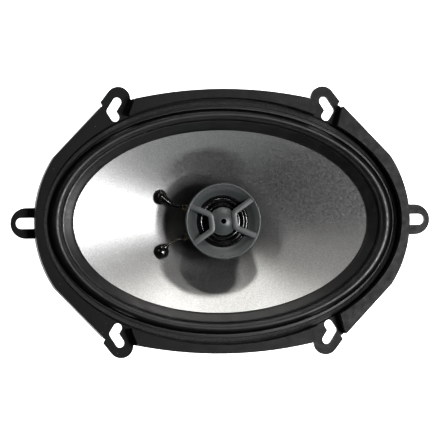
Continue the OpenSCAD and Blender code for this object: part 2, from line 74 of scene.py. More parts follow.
def finish_mesh(name, me, mat=None, sharp=38.0):
    bm = bmesh.new()
    bm.from_mesh(me)
    bmesh.ops.recalc_face_normals(bm, faces=bm.faces)
    bm.to_mesh(me)
    bm.free()
    me.polygons.foreach_set("use_smooth", [True] * len(me.polygons))
    me.set_sharp_from_angle(angle=math.radians(sharp))
    ob = bpy.data.objects.new(name, me)
    scene.collection.objects.link(ob)
    if mat is not None:
        me.materials.append(mat)
    return ob


def refine(node, mat, bevel=0.3, segs=2, body="frame", name=None, dissolve=0.4, angle=32.0, sharp=30.0,
           tweak=None):
    """A copy of a CAD node with merged vertices and rounded edges, which stands for the node."""
    src = NODES[node]
    bm = bmesh.new()
    bm.from_mesh(src.data)
    bmesh.ops.remove_doubles(bm, verts=bm.verts, dist=2e-6)
    bmesh.ops.dissolve_degenerate(bm, dist=1e-6, edges=bm.edges)
    bmesh.ops.dissolve_limit(bm, angle_limit=math.radians(dissolve), verts=bm.verts, edges=bm.edges,
                             delimit={"NORMAL"})
    if tweak:
        tweak(bm)
    bmesh.ops.recalc_face_normals(bm, faces=bm.faces)
    me = bpy.data.meshes.new(name or node + "_finished")
    bm.to_mesh(me)
    bm.free()
    ob = bpy.data.objects.new(name or node + "_finished", me)
    scene.collection.objects.link(ob)
    if bevel > 0:
        m = ob.modifiers.new("edge", "BEVEL")
        m.width = bevel * MM
        m.segments = segs
        m.limit_method = "ANGLE"
        m.angle_limit = math.radians(angle)
        m.miter_outer = "MITER_ARC"
        m.use_clamp_overlap = True
        apply_modifiers(ob)
    me = ob.data
    me.polygons.foreach_set("use_smooth", [True] * len(me.polygons))
    me.set_sharp_from_angle(angle=math.radians(sharp))
    wn = ob.modifiers.new("normals", "WEIGHTED_NORMAL")
    wn.keep_sharp = True
    wn.weight = 100
    me.materials.clear()
    me.materials.append(mat)
    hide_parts(node)
    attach(ob, body)
    return ob


def apply_modifiers(ob):
    dg = bpy.context.evaluated_depsgraph_get()
    new = bpy.data.meshes.new_from_object(ob.evaluated_get(dg), depsgraph=dg)
    old = ob.data
    ob.modifiers.clear()
    ob.data = new
    bpy.data.meshes.remove(old)


def join(name, objs, mat=None, sharp=38.0):
    bm = bmesh.new()
    for o in objs:
        bm.from_mesh(o.data)
        bpy.data.objects.remove(o)
    me = bpy.data.meshes.new(name)
    bm.to_mesh(me)
    bm.free()
    return finish_mesh(name, me, mat, sharp)


def oval_tube(profile, n, closed=True):
    """Quads through a loop of (half length, half height, z) rings."""
    m = len(profile)
    verts = []
    for i in range(n):
        a = 2 * math.pi * i / n
        c, s = math.cos(a), math.sin(a)
        verts.extend((p[0] * c, p[1] * s, p[2]) for p in profile)
    faces = []
    for i in range(n):
        k = (i + 1) % n
        for j in range(m if closed else m - 1):
            l = (j + 1) % m
            faces.append((i * m + j, k * m + j, k * m + l, i * m + l))
    return verts, faces


def lathe(profile, n=128, closed=True):
    """Quads round Z through (r, z) points; r 0 closes at the axis."""
    verts, rows = [], []
    for r, z in profile:
        if r < 1e-6:
            rows.append([len(verts)] * n)
            verts.append((0, 0, z))
        else:
            rows.append(list(range(len(verts), len(verts) + n)))
            verts.extend((r * math.cos(2 * math.pi * i / n), r * math.sin(2 * math.pi * i / n), z)
                         for i in range(n))
    faces = []
    m = len(profile)
    for j in range(m if closed else m - 1):
        a, b = rows[j], rows[(j + 1) % m]
        for i in range(n):
            k = (i + 1) % n
            f = []
            for q in (a[i], a[k], b[k], b[i]):
                if not f or (q != f[-1] and q != f[0]):
                    f.append(q)
            if len(f) > 2:
                faces.append(tuple(f))
    return verts, faces


def round_corner(points, r, steps=4):
    """A closed 2D outline with each corner rounded; r is one number or one for each corner."""
    out = []
    n = len(points)
    for i, p in enumerate(points):
        rr = r[i] if isinstance(r, (list, tuple)) else r
        a, b = Vector(points[i - 1]), Vector(points[(i + 1) % n])
        p = Vector(p)
        if rr <= 0:
            out.append((p.x, p.y))
            continue
        u, v = (a - p), (b - p)
        lu, lv = u.length, v.length
        u.normalize(), v.normalize()
        half = math.acos(max(-1, min(1, u.dot(v)))) / 2
        if half < 1e-3 or abs(half - math.pi / 2) < 1e-3:
            out.append((p.x, p.y))
            continue
        t = min(rr / math.tan(half), lu * 0.48, lv * 0.48)
        rad = t * math.tan(half)
        c = p + (u + v).normalized() * (rad / math.sin(half))
        s, e = p + u * t - c, p + v * t - c
        a0, a1 = math.atan2(s.y, s.x), math.atan2(e.y, e.x)
        d = (a1 - a0 + math.pi) % (2 * math.pi) - math.pi
        for k in range(steps + 1):
            w = a0 + d * k / steps
            out.append((c.x + rad * math.cos(w), c.y + rad * math.sin(w)))
    return out


def bez(p, t):
    a, b, c, d = (Vector(q) for q in p)
    return (1 - t) ** 3 * a + 3 * t * (1 - t) ** 2 * b + 3 * t * t * (1 - t) * c + t ** 3 * d


def tube(path, radius, k=12, twist=0.0, lobes=0, depth=0.0):
    """A tube along points in millimetres, with round ends; returns verts, faces, share of each vertex."""
    pts = [Vector(p) for p in path]
    n = len(pts)
    verts, faces, share = [], [], []
    up = Vector((0.3, 0.9, 0.31))
    for i, p in enumerate(pts):
        d = (pts[min(i + 1, n - 1)] - pts[max(i - 1, 0)]).normalized()
        u = d.cross(up).normalized()
        v = d.cross(u)
        r = radius(i / (n - 1)) if callable(radius) else radius
        for j in range(k):
            a = 2 * math.pi * j / k
            rr = r * (1 + depth * math.cos(lobes * a + twist * i)) if lobes else r
            verts.append(tuple(p + rr * math.cos(a) * u + rr * math.sin(a) * v))
            share.append(i / (n - 1))
    for i in range(n - 1):
        for j in range(k):
            a, b = i * k + j, i * k + (j + 1) % k
            faces.append((a, b, b + k, a + k))
    for end, i in ((0, 0), (1, n - 1)):
        d = (pts[1] - pts[0]).normalized() * -1 if end == 0 else (pts[-1] - pts[-2]).normalized()
        r = radius(end) if callable(radius) else radius
        tip = len(verts)
        verts.append(tuple(pts[i] + d * r * 0.6))
        share.append(float(end))
        for j in range(k):
            a, b = i * k + j, i * k + (j + 1) % k
            faces.append((a, b, tip))
    return verts, faces, share


def blend_by(ob):
    """Bakes a piece's transform into its mesh; the piece is not bent between bodies."""
    co = [v.co for v in ob.data.vertices]
    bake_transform(ob)
    return ob


def smooth(t):
    t = max(0.0, min(1.0, t))
    return t * t * (3 - 2 * t)


# ------------------------------------------------------------------- materials
class Mat:
    """Builds one procedural material."""

    def __init__(self, name, color, rough, metal=0.0, **extra):
        self.m = bpy.data.materials.new(name)
        self.m.use_nodes = True
        self.t = self.m.node_tree
        self.b = self.t.nodes["Principled BSDF"]
        self.b.inputs["Base Color"].default_value = (*color, 1)
        self.b.inputs["Roughness"].default_value = rough
        self.b.inputs["Metallic"].default_value = metal
        for k, v in extra.items():
            self.b.inputs[k.replace("_", " ")].default_value = v
        self.coord = self.n("ShaderNodeTexCoord")
        self.height = None

    def n(self, kind, **props):
        node = self.t.nodes.new(kind)
        for k, v in props.items():
            setattr(node, k, v)
        return node

    def l(self, a, b):
        self.t.links.new(a, b)

    def mapping(self, scale=(1, 1, 1), rot=(0, 0, 0)):
        mp = self.n("ShaderNodeMapping")
        mp.inputs["Scale"].default_value = scale
        mp.inputs["Rotation"].default_value = rot
        self.l(self.coord.outputs["Object"], mp.inputs["Vector"])
        return mp.outputs["Vector"]

    def noise(self, mm, detail=3.0, rough=0.5, vec=None, dist=0.0):
        """Noise whose features are about mm millimetres across."""
        x = self.n("ShaderNodeTexNoise")
        x.inputs["Scale"].default_value = 1.0 / (mm * MM)
        x.inputs["Detail"].default_value = detail
        x.inputs["Roughness"].default_value = rough
        x.inputs["Distortion"].default_value = dist
        self.l(vec or self.coord.outputs["Object"], x.inputs["Vector"])
        return x.outputs["Fac"]

    def voronoi(self, mm, feature="F1", vec=None, rnd=1.0):
        x = self.n("ShaderNodeTexVoronoi", feature=feature)
        x.inputs["Scale"].default_value = 1.0 / (mm * MM)
        x.inputs["Randomness"].default_value = rnd
        self.l(vec or self.coord.outputs["Object"], x.inputs["Vector"])
        return x.outputs["Distance"]

    def ramp(self, fac, stops):
        r = self.n("ShaderNodeValToRGB")
        e = r.color_ramp.elements
        while len(e) < len(stops):
            e.new(0.5)
        for el, (p, c) in zip(e, stops):
            el.position = p
            el.color = (*c, 1) if len(c) == 3 else c
        self.l(fac, r.inputs["Fac"])
        return r.outputs["Color"]

    def span(self, fac, a, b, lo=0.3, hi=0.7):
        x = self.n("ShaderNodeMapRange")
        x.inputs["From Min"].default_value = lo
        x.inputs["From Max"].default_value = hi
        x.inputs["To Min"].default_value = a
        x.inputs["To Max"].default_value = b
        self.l(fac, x.inputs["Value"])
        return x.outputs["Result"]

    def math(self, op, a, b):
        x = self.n("ShaderNodeMath", operation=op)
        for i, v in enumerate((a, b)):
            if isinstance(v, (int, float)):
                x.inputs[i].default_value = v
            else:
                self.l(v, x.inputs[i])
        return x.outputs[0]

    def mix(self, fac, a, b):
        x = self.n("ShaderNodeMix", data_type="RGBA")
        for key, v in (("Factor", fac), ("A", a), ("B", b)):
            sock = [s for s in x.inputs if s.name == key and s.enabled][0]
            if isinstance(v, (int, float)):
                sock.default_value = v
            elif isinstance(v, tuple):
                sock.default_value = (*v, 1)
            else:
                self.l(v, sock)
        return [s for s in x.outputs if s.enabled][0]

    def color(self, out):
        self.l(out, self.b.inputs["Base Color"])

    def rough(self, out):
        self.l(out, self.b.inputs["Roughness"])

    def bump(self, out, mm, strength=1.0):
        """A height of mm millimetres from black to white, on top of earlier bumps."""
        x = self.n("ShaderNodeBump")
        x.inputs["Strength"].default_value = strength
        x.inputs["Distance"].default_value = mm * MM
        self.l(out, x.inputs["Height"])
        if self.height is not None:
            self.l(self.height, x.inputs["Normal"])
        self.height = x.outputs["Normal"]
        self.l(self.height, self.b.inputs["Normal"])


def moulded_plastic(name, color, rough, grain=0.35, height=0.02, dust=0.0, vary=0.25, **extra):
    m = Mat(name, color, rough, **extra)
    broad = m.noise(26, 3)
    fine = m.noise(grain, 2, 0.6)
    lo = tuple(c * (1 - vary) for c in color)
    hi = tuple(min(1, c * (1 + vary)) for c in color)
    base = m.ramp(broad, [(0.3, lo), (0.7, hi)])
    base = m.mix(m.span(fine, 0.0, 0.35, 0.35, 0.75), base, tuple(min(1, c * 1.8 + 0.01) for c in color))
    if dust:
        spots = m.voronoi(5.5)
        base = m.mix(m.span(spots, dust, 0.0, 0.02, 0.045), base, (0.55, 0.55, 0.54))
    m.color(base)
    m.rough(m.span(m.noise(3.5, 4), rough - 0.07, rough + 0.08))
    m.bump(fine, height)
    m.bump(m.noise(grain * 2.6, 2), height * 0.6)
    return m.m


def cone_metal():
    m = Mat("cone_satin_metallic", (0.60, 0.60, 0.60), 0.42, metal=1.0)
    grain = m.noise(0.55, 3, 0.65)
    speck = m.noise(1.5, 2, 0.5)
    base = m.ramp(grain, [(0.30, (0.44, 0.44, 0.44)), (0.52, (0.58, 0.58, 0.58)), (0.74, (0.73, 0.73, 0.725))])
    base = m.mix(m.span(m.noise(34, 2), 0.0, 0.22), base, (0.50, 0.50, 0.505))
    # darkened towards the neck only so that the shadow there reads as dark as in the photo; no such coat is seen
    sep = m.n("ShaderNodeSeparateXYZ")
    m.l(m.coord.outputs["Object"], sep.inputs[0])
    base = m.mix(m.span(sep.outputs["Z"], 0.62, 0.0, -0.0225, -0.0165), base, (0.10, 0.10, 0.10))
    m.color(base)
    m.rough(m.span(speck, 0.39, 0.47))
    m.bump(grain, 0.009)
    m.bump(speck, 0.004)
    return m.m


def rubber(name, color=(0.013, 0.013, 0.0138), rough=0.38, grain=0.5):
    m = Mat(name, color, rough, Specular_IOR_Level=0.7)
    fine = m.noise(grain, 3, 0.6)
    cloud = m.noise(9, 4)
    base = m.ramp(cloud, [(0.3, tuple(c * 0.75 for c in color)), (0.7, tuple(c * 1.5 for c in color))])
    spots = m.voronoi(7.0)
    base = m.mix(m.span(spots, 0.5, 0.0, 0.012, 0.03), base, (0.32, 0.32, 0.31))
    m.color(base)
    m.rough(m.span(m.noise(2.4, 4), rough - 0.06, rough + 0.09))
    m.bump(fine, 0.012)
    return m.m


def metal(name, color, rough, streak=(1, 1, 1), grain=0.5, height=0.006, tint=None, rot=(0, 0, 0)):
    m = Mat(name, color, rough, metal=1.0)
    vec = m.mapping(streak, rot)
    g = m.noise(grain, 4, 0.6, vec)
    base = m.ramp(g, [(0.25, tuple(c * 0.8 for c in color)), (0.75, tuple(min(1, c * 1.12) for c in color))])
    if tint:
        base = m.mix(m.span(m.noise(8, 3), 0.0, 0.35), base, tint)
    m.color(base)
    m.rough(m.span(m.noise(2.2, 4), rough - 0.08, rough + 0.1))
    m.bump(g, height)
    return m.m


def ferrite_mat():
    m = Mat("ferrite_ceramic", (0.05, 0.05, 0.052), 0.55)
    g = m.noise(0.6, 5, 0.65)
    base = m.ramp(g, [(0.25, (0.030, 0.030, 0.032)), (0.7, (0.085, 0.085, 0.088))])
    chips = m.voronoi(4.5)
    base = m.mix(m.span(chips, 0.6, 0.0, 0.03, 0.09), base, (0.14, 0.135, 0.13))
    m.color(base)
    m.rough(m.span(m.noise(1.6, 4), 0.42, 0.68))
    m.bump(g, 0.03)
    m.bump(m.noise(0.5, 2, 0.5, m.mapping((1, 9, 9))), 0.015)
    return m.m


def winding_mat(name, color):
    m = Mat(name, color, 0.28, metal=1.0)
    w = m.n("ShaderNodeTexWave", wave_type="BANDS", bands_direction="Z", wave_profile="SIN")
    w.inputs["Scale"].default_value = 1000.0
    w.inputs["Distortion"].default_value = 0.15
    m.l(m.coord.outputs["Object"], w.inputs["Vector"])
    m.color(m.ramp(w.outputs["Fac"], [(0.1, tuple(c * 0.45 for c in color)), (0.8, color)]))
    m.rough(m.span(m.noise(1.5, 3), 0.22, 0.38))
    m.bump(w.outputs["Fac"], 0.08)
    return m.m


def cloth_mat(name, color, pitch=0.55, dark=0.55, rough=0.85, height=0.1):
    m = Mat(name, color, rough)
    waves = []
    for d in ("X", "Y"):
        w = m.n("ShaderNodeTexWave", wave_type="BANDS", bands_direction=d, wave_profile="SIN")
        w.inputs["Scale"].default_value = 0.314 / (pitch * MM)
        w.inputs["Distortion"].default_value = 0.6
        w.inputs["Detail"].default_value = 1.0
        m.l(m.coord.outputs["Object"], w.inputs["Vector"])
        waves.append(w.outputs["Fac"])
    weave = m.math("MAXIMUM", waves[0], waves[1])
    base = m.ramp(weave, [(0.35, tuple(c * dark for c in color)), (0.95, color)])
    base = m.mix(m.span(m.noise(12, 3), 0.0, 0.3), base, tuple(c * 0.7 for c in color))
    m.color(base)
    m.rough(m.span(m.noise(2, 2), rough - 0.1, min(1, rough + 0.08)))
    m.bump(weave, height)
    return m.m


def fibre_board():
    m = Mat("pressed_fibre_board", (0.30, 0.18, 0.08), 0.72)
    g = m.noise(1.1, 6, 0.7, m.mapping((1, 3, 1)))
    m.color(m.ramp(g, [(0.3, (0.19, 0.105, 0.045)), (0.7, (0.40, 0.25, 0.12))]))
    m.rough(m.span(m.noise(2, 3), 0.6, 0.85))
    m.bump(g, 0.05)
    return m.m


def film_mat():
    m = Mat("diaphragm_film", (0.012, 0.012, 0.013), 0.16, Specular_IOR_Level=0.6)
    g = m.noise(2.2, 3)
    m.color(m.ramp(g, [(0.3, (0.008, 0.008, 0.009)), (0.7, (0.020, 0.020, 0.022))]))
    m.rough(m.span(m.noise(1.2, 3), 0.11, 0.24))
    m.bump(m.noise(1.6, 2), 0.003)
    return m.m


def cement_mat():
    m = Mat("black_cement", (0.010, 0.010, 0.010), 0.13, Specular_IOR_Level=0.6)
    g = m.noise(1.8, 4)
    m.color(m.ramp(g, [(0.3, (0.006, 0.006, 0.006)), (0.75, (0.028, 0.026, 0.024))]))
    m.rough(m.span(m.noise(0.9, 3), 0.07, 0.26))
    m.bump(g, 0.12)
    return m.m


def former_mat():
    m = Mat("amber_film", (0.20, 0.12, 0.05), 0.3)
    g = m.noise(1.2, 3, 0.5, m.mapping((1, 1, 6)))
    m.color(m.ramp(g, [(0.3, (0.13, 0.075, 0.03)), (0.7, (0.26, 0.16, 0.07))]))
    m.rough(m.span(m.noise(2, 3), 0.22, 0.42))
    m.bump(g, 0.01)
    return m.m


def gasket_mat():
    m = Mat("edge_gasket_board", (0.07, 0.07, 0.072), 0.85, Specular_IOR_Level=0.2)
    g = m.noise(0.8, 5, 0.7)
    base = m.ramp(g, [(0.3, (0.042, 0.042, 0.043)), (0.7, (0.11, 0.11, 0.112))])
    m.color(m.mix(m.span(m.voronoi(6), 0.6, 0.0, 0.02, 0.05), base, (0.30, 0.30, 0.29)))
    m.rough(m.span(m.noise(2, 3), 0.62, 0.88))
    m.bump(g, 0.06)
    return m.m


def sleeve_mat():
    m = Mat("capacitor_sleeve", (0.02, 0.045, 0.16), 0.3)
    g = m.noise(1.2, 3)
    m.color(m.ramp(g, [(0.3, (0.014, 0.03, 0.12)), (0.7, (0.03, 0.06, 0.2))]))
    m.rough(m.span(m.noise(0.8, 3), 0.22, 0.4))
    m.bump(g, 0.02)
    return m.m


def tinsel_mat():
    m = Mat("tinsel_braid", (0.30, 0.27, 0.24), 0.42, metal=0.7)
    w = m.n("ShaderNodeTexWave", wave_type="BANDS", bands_direction="DIAGONAL", wave_profile="SIN")
    w.inputs["Scale"].default_value = 420.0
    w.inputs["Distortion"].default_value = 0.5
    m.l(m.coord.outputs["Object"], w.inputs["Vector"])
    m.color(m.ramp(w.outputs["Fac"], [(0.2, (0.10, 0.085, 0.07)), (0.8, (0.38, 0.34, 0.30))]))
    m.rough(m.span(m.noise(0.7, 2), 0.3, 0.55))
    m.bump(w.outputs["Fac"], 0.08)
    return m.m


M_BASKET = moulded_plastic("basket_moulding", (0.011, 0.0115, 0.012), 0.46, grain=0.55, height=0.055, dust=0.35,
                           Specular_IOR_Level=0.34)
M_BLACK = moulded_plastic("black_moulding", (0.012, 0.012, 0.012), 0.50, grain=0.3, height=0.02)
M_GREY = moulded_plastic("grey_moulding", (0.088, 0.095, 0.095), 0.33, grain=0.28, height=0.012, vary=0.1)
M_RUBBER = rubber("edge_rubber")
M_CONE = cone_metal()
M_GASKET = gasket_mat()
M_STEEL = metal("zinc_plated_steel", (0.30, 0.305, 0.30), 0.42, grain=0.9, tint=(0.33, 0.30, 0.22))
M_SCREW = metal("screw_steel", (0.60, 0.60, 0.58), 0.3, grain=0.5)
M_NICKEL = metal("nickel_plated", (0.62, 0.60, 0.56), 0.2, grain=0.8)
M_BRASS = metal("tinned_brass", (0.70, 0.66, 0.56), 0.28, streak=(1, 7, 7), grain=0.8, tint=(0.66, 0.53, 0.30))
M_FERRITE = ferrite_mat()
M_COPPER = winding_mat("enamelled_copper", (0.62, 0.27, 0.12))
M_SPIDER = cloth_mat("spider_cloth", (0.42, 0.29, 0.085))
M_FILM = film_mat()
M_CEMENT = cement_mat()
M_FORMER = former_mat()
M_BOARD = fibre_board()
M_SLEEVE = sleeve_mat()
M_TINSEL = tinsel_mat()
M_LEADSLEEVE = rubber("lead_sleeve", (0.010, 0.010, 0.010), 0.2, 0.8)


def repaint(node, mat):
    o = NODES[node]
    if not o.material_slots:
        return
    for s in o.material_slots:
        s.link = "OBJECT"
        s.material = mat


# --------------------------------------------------------------------- basket
def draft(bm):
    """The raised rim leans in a little towards its top on the outside."""
    for v in bm.verts:
        x, y, z = v.co / MM
        if z > 10.5 and (x / 98.6) ** 2 + (y / 67.6) ** 2 > 1.0:
            v.co.x -= math.copysign(min(0.25, abs(x) * 0.0026), x) * MM
            v.co.y -= math.copysign(min(0.25, abs(y) * 0.0036), y) * MM


basket = refine("basket", M_BASKET, bevel=0.45, segs=3, angle=38, sharp=36, tweak=draft)

# ---------------------------------------------------------------- edge gasket
z0 = 1.9
prof = [(96.7, 65.3, z0), (96.75, 65.35, z0 + 0.3), (96.6, 65.2, z0 + 0.82), (96.2, 64.75, z0 + 0.93),
        (95.4, 63.4, z0 + 0.93), (95.0, 62.95, z0 + 0.8), (94.85, 62.8, z0 + 0.3), (94.9, 62.8, z0)]
v, f = oval_tube(prof, 240)
gasket = make_object("edge_gasket_ring", v, f, M_GASKET)
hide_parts("edge_gasket")
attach(gasket, "frame")


# -------------------------------------------------------------------- surround
CX, CY, NR, CD = 85.5, 53.9, 13.0, 24.0


def cone_at(s):
    return (CX + (NR - CX) * s + 0.06, CY + (NR - CY) * s + 0.06, -CD * s)


def cone_z(x, y):
    lo, hi = -0.1, 1.0
    for _ in range(36):
        m = (lo + hi) / 2
        a, b, _z = cone_at(m)
        if (x / a) ** 2 + (y / b) ** 2 > 1:
            hi = m
        else:
            lo = m
    return cone_at(lo)[2]


def surround_piece():
    """Rubber roll: each row is (half length, half height, z, share of the cone's travel, height on the cone)."""
    z0, t, n = 1.05, 0.7, 26
    rows = []

    def add(x, y, z, w, lift=None):
        rows.append((x, y, z, w, lift))

    add(96.95, 66.0, z0 + 0.35, 0)
    add(96.8, 65.9, z0 + 0.72, 0)
    add(96.4, 65.4, z0 + 0.8, 0)
    add(95.2, 63.2, z0 + 0.8, 0)
    add(94.5, 61.95, z0 + 0.8, 0)
    add(94.15, 61.4, z0 + 0.92, 0.01)
    for i in range(n + 1):
        u = i / n
        a = math.pi * u
        k = (0.5 - 0.5 * math.cos(a)) * 0.94 + 0.03
        h = 4.15 * math.sin(a) ** 0.92 if 0 < i < n else 0.0
        add(94.0 - 8.0 * k, 61.2 - 6.9 * k, z0 + 0.8 - 0.6 * u + h, smooth(k))
    add(85.75, 54.05, z0 + 0.1, 1)
    add(85.2, 53.6, 0, 1, 1.05)
    add(83.6, 52.2, 0, 1, 1.02)
    add(82.0, 50.8, 0, 1, 1.0)
    add(80.9, 49.9, 0, 1, 0.96)
    add(80.5, 49.58, 0, 1, 0.82)
    add(80.38, 49.5, 0, 1, 0.6)
    add(80.42, 49.54, 0, 1, 0.3)
    add(80.8, 49.85, 0, 1, 0.22)
    add(84.6, 53.05, 0, 1, 0.25)
    for i in range(n // 2 + 1):
        u = i / (n // 2)
        a = math.pi * u
        k = 0.5 + 0.5 * math.cos(a)
        add(94.0 - t + (86.0 + t - 94.0 + t) * k, 61.2 - t + (54.3 + t - 61.2 + t) * k,
            z0 + 0.05 - 0.6 * (1 - u) + 4.05 * math.sin(a), smooth(k))
    add(94.6, 62.0, z0, 0)
    add(96.9, 65.9, z0, 0)
    m, seg = len(rows), 288
    verts, faces, wts = [], [], []
    for i in range(seg):
        a = 2 * math.pi * i / seg
        c, sn = math.cos(a), math.sin(a)
        for x, y, z, w, lift in rows:
            px, py = x * c, y * sn
            verts.append((px, py, z if lift is None else min(cone_z(px, py), -0.02) + lift))
            wts.append(w)
    for i in range(seg):
        k = (i + 1) % seg
        for j in range(m):
            l = (j + 1) % m
            faces.append((i * m + j, k * m + j, k * m + l, i * m + l))
    ob = make_object("rubber_surround", verts, faces, M_RUBBER, sharp=60)
    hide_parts("surround")
    blend_by(ob)
    return ob


surround = surround_piece()


# ------------------------------------------------------------------------ cone
n = 44
prof = []
for i in range(n + 1):
    s = i / n
    prof.append(cone_at(s))
prof[0] = (prof[0][0] - 0.1, prof[0][1] - 0.1, prof[0][2])
prof.append((13.06, 13.06, -24.35))
for i in range(n, -1, -2):
    s = i / n
    a, b, z = cone_at(s)
    prof.append((a, b, z - 0.75 - 0.3 * s))
prof.append((CX + 0.1, CY + 0.1, -0.35))
v, f = oval_tube(prof, 288)
cone = make_object("metallic_cone", v, f, M_CONE, sharp=50)
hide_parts("cone")
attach(cone, "cone_assembly")


# ---------------------------------------------------------------------- spider
def spider_piece():
    rs, zs, w = [], [], []
    for r, z in ((13.4, -25.85), (13.9, -25.85), (13.95, -27.0), (14.3, -27.35)):
        rs.append(r), zs.append(z), w.append(1.0)
    n = 110
    for i in range(n + 1):
        r = 15 + 22.4 * i / n
        rs.append(r)
        zs.append(-28 + 0.6 + 1.1 * math.sin(2 * math.pi * 4 * i / n))
        w.append(1 - smooth((r - 15) / 22.4))
    for r, z in ((38.3, -27.5), (42.6, -27.5), (42.95, -27.7), (42.95, -27.95), (38.3, -27.95)):
        rs.append(r), zs.append(z), w.append(0.0)
    for i in range(n, -1, -1):
        r = 15 + 22.4 * i / n
        rs.append(r)
        zs.append(-28 + 0.6 + 1.1 * math.sin(2 * math.pi * 4 * i / n) - 0.42)
        w.append(1 - smooth((r - 15) / 22.4))
    rs.append(13.4), zs.append(-27.75), w.append(1.0)
    v, f = lathe(list(zip(rs, zs)), 144)
    ob = make_object("spider_corrugated", v, f, M_SPIDER, sharp=60)
    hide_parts("spider")
    weights = []
    for q in w:
        weights += [q] * 144
    blend_by(ob)
    return ob


spider = spider_piece()


# --------------------------------------------------------------- tweeter bezel
def boolean_union(base, others):
    for o in others:
        m = base.modifiers.new("u", "BOOLEAN")
        m.operation = "UNION"
        m.solver = "EXACT"
        m.object = o
    apply_modifiers(base)
    for o in others:
        bpy.data.objects.remove(o)
    return base


def bar_piece(side, turn):
    """One bent bar: a rounded rectangular section swept through its bend."""
    c = 30.5
    e = 21.6
    pts = [(e * math.cos(math.radians(c)), e * math.sin(math.radians(c))), (6.3, 4.1), (6.3, -4.1),
           (e * math.cos(math.radians(c)), -e * math.sin(math.radians(c)))]
    path = []
    # corners rounded on the centre line
    for i, p in enumerate(pts):
        p = Vector(p)
        if i in (0, 3):
            path.append(p)
            continue
        a, b = Vector(pts[i - 1]), Vector(pts[i + 1])
        u, v = (a - p).normalized(), (b - p).normalized()
        for k in range(7):
            t = k / 6
            q0, q1 = p + u * 1.6, p + v * 1.6
            path.append((1 - t) ** 2 * q0 + 2 * t * (1 - t) * p + t * t * q1)
    half_w, top, low = 1.62, 6.36, 4.45
    sec = round_corner([(-half_w, low), (half_w, low), (half_w, top), (-half_w, top)], [0.2, 0.2, 0.42, 0.42], 3)
    verts, faces = [], []
    n, m = len(path), len(sec)
    for i, p in enumerate(path):
        d = (path[min(i + 1, n - 1)] - path[max(i - 1, 0)]).normalized()
        nrm = Vector((-d.y, d.x))
        dip = 0.0
        for (o, z) in sec:
            q = p + nrm * o
            x, y = side * q.x, q.y
            r = math.radians(turn)
            verts.append((x * math.cos(r) - y * math.sin(r), x * math.sin(r) + y * math.cos(r), z - dip))
    for i in range(n - 1):
        for j in range(m):
            k = (j + 1) % m
            faces.append((i * m + j, i * m + k, (i + 1) * m + k, (i + 1) * m + j))
    faces.append(tuple(range(m)))
    faces.append(tuple(range((n - 1) * m, n * m)))
    return make_object("bar", verts, faces)


z = 6.5
ring_prof = round_corner([(14.0, 1.15), (15.4, 1.15), (15.6, 1.9), (16.6, 2.3), (17.75, 2.6), (17.75, 4.27),
                          (20.5, 4.27), (20.5, z), (19.45, z), (18.9, z - 0.75), (17.2, z - 2.25),
                          (15.3, z - 3.55), (14.0, 2.35)],
                         [0.15, 0.1, 0.1, 0.1, 0.1, 0.1, 0.2, 0.6, 0.9, 1.6, 3.0, 1.5, 0.5], 5)
v, f = lathe(ring_prof, 192)
bezel = make_object("tweeter_front", v, f)
dome_r = 13.0
plug_prof = [(1.3, 3.95), (7.2, 3.95), (7.5, 4.05), (7.6, 4.3)]
for i in range(13):
    r = 7.6 - (7.6 - 1.75) * i / 12
    zz = 6.75 - dome_r + math.sqrt(dome_r ** 2 - r ** 2)
    plug_prof.append((r - (0.12 if i == 0 else 0), zz))
plug_prof += [(1.5, 6.62), (1.34, 6.5), (1.3, 6.3)]
v, f = lathe(plug_prof, 96)
plug = make_object("plug", v, f)
bars = [bar_piece(1, 5.7), bar_piece(-1, 5.7)]
for bar in bars:
    v, f = lathe([(0, 3.0), (20.3, 3.0), (20.3, 5.9), (19.9, 6.42), (0, 6.42)], 192, closed=False)
    disc = make_object("disc", v, f)
    m = bar.modifiers.new("i", "BOOLEAN")
    m.operation = "INTERSECT"
    m.solver = "EXACT"
    m.object = disc
    apply_modifiers(bar)
    bpy.data.objects.remove(disc)
bezel = boolean_union(bezel, [plug] + bars)
bezel.data.polygons.foreach_set("use_smooth", [True] * len(bezel.data.polygons))
bezel.data.set_sharp_from_angle(angle=math.radians(34))
bezel.data.materials.clear()
bezel.data.materials.append(M_GREY)
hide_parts("tweeter_bezel")
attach(bezel, "frame")

# ------------------------------------------------------------- tweeter housing
hp = round_corner([(2.6, -9), (17.0, -9), (18.6, -7.4), (19.25, -1.2), (19.0, -0.9), (19.02, -0.4), (19.32, -0.1),
                   (19.6, 4.2), (17.9, 4.2), (17.9, -0.5), (17.2, -0.5), (17.2, -7.4), (2.6, -7.4)],
                  [0.1, 0.6, 0.8, 0.15, 0.1, 0.1, 0.15, 0.3, 0.2, 0.1, 0.1, 0.3, 0.1], 3)
v, f = lathe(hp, 160)
housing = make_object("tweeter_cup_housing", v, f, M_BLACK)
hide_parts("tweeter_housing")
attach(housing, "frame")


# ----------------------------------------------------------- tweeter diaphragm
def dome_z(r):
    if r < 6.9:
        return 0.55 + 2.45 * (1 - (r / 6.9) ** 2)
    return 0.55 + 1.1 * math.sin(math.pi * (r - 6.9) / 4.4)


rs = [0.0] + [0.35 * i for i in range(1, 28)]
rs = [r for r in rs if r <= 9.7] + [9.7]
top = [(r, dome_z(r) + 0.28) for r in rs]
low = [(r, dome_z(r) + 0.02) for r in reversed(rs)]
v, f = lathe(top + low, 128)
dome = make_object("tweeter_dome_film", v, f, M_FILM, sharp=55)
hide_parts("tweeter_dome")
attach(dome, "tweeter_diaphragm")

